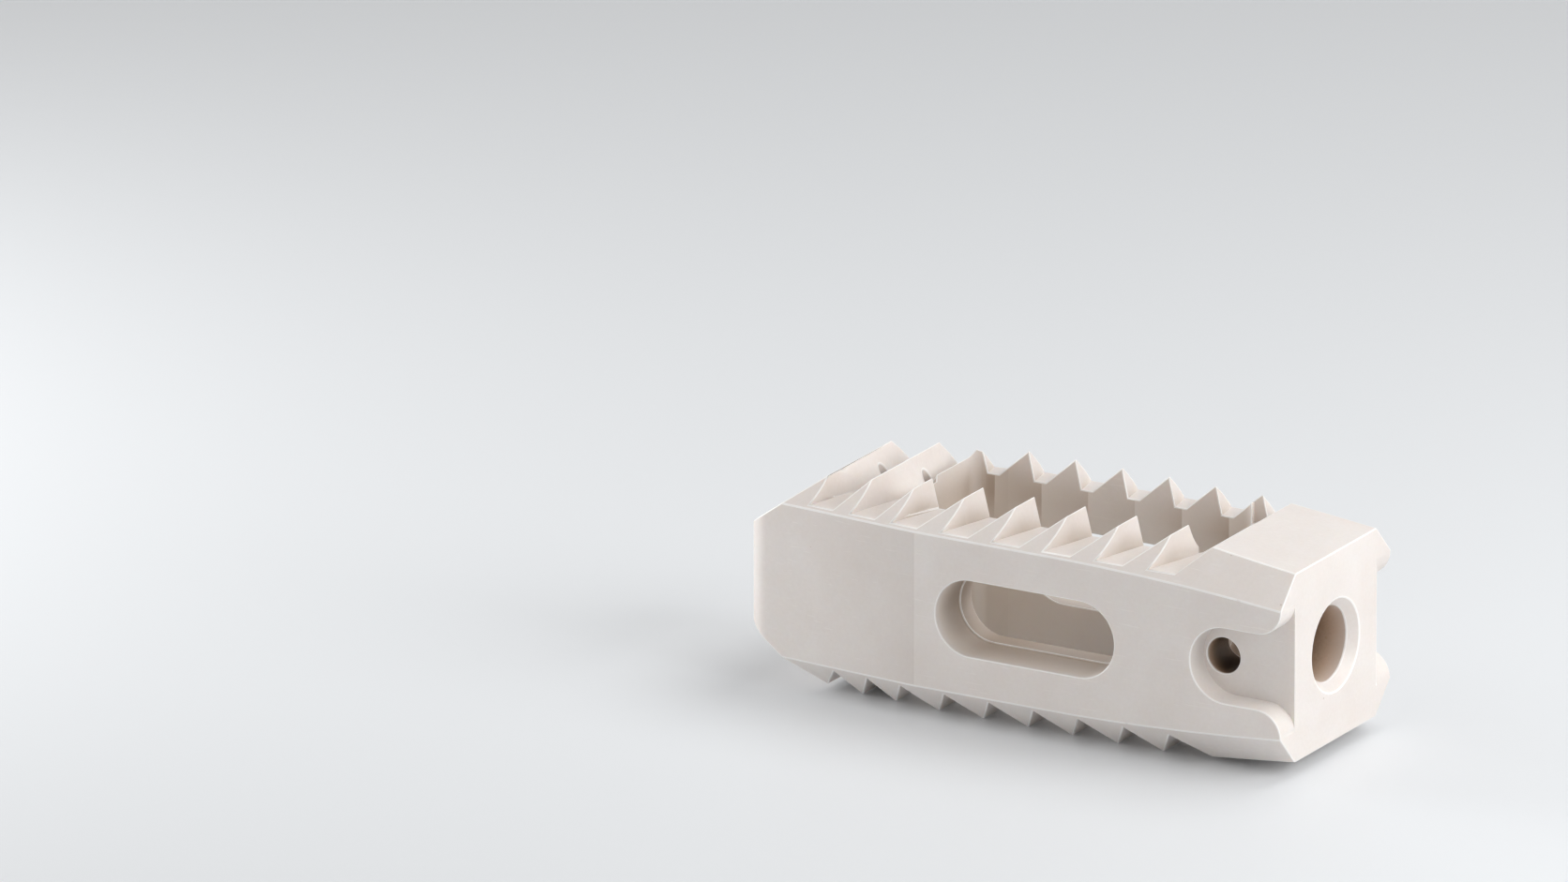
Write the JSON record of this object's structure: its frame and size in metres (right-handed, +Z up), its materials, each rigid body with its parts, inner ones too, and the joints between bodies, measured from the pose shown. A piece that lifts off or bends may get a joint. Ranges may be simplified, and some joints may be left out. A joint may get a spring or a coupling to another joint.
{
  "type": "spinal interbody cage",
  "caption": "Bullet-nosed box cage with saw-toothed top and underside, an open graft slot, side windows, a rear inserter bore and side notches.",
  "frame": {"origin": "centre of the bounding box's underside, level with the ridges of the lower teeth", "axes": "+X from the bullet nose to the rear face with the inserter bore, +Y across the width towards the side that the graft slot lies nearer to, +Z up"},
  "size_m": [0.025, 0.009, 0.0092],
  "materials": {
    "peek": "machined natural PEEK, satin",
    "tantalum": "cut tantalum wire"
  },
  "bodies": {
    "root": {"cage_body": "peek", "front_marker_pin": "tantalum", "second_marker_pin": "tantalum"}
  },
  "joints": []
}
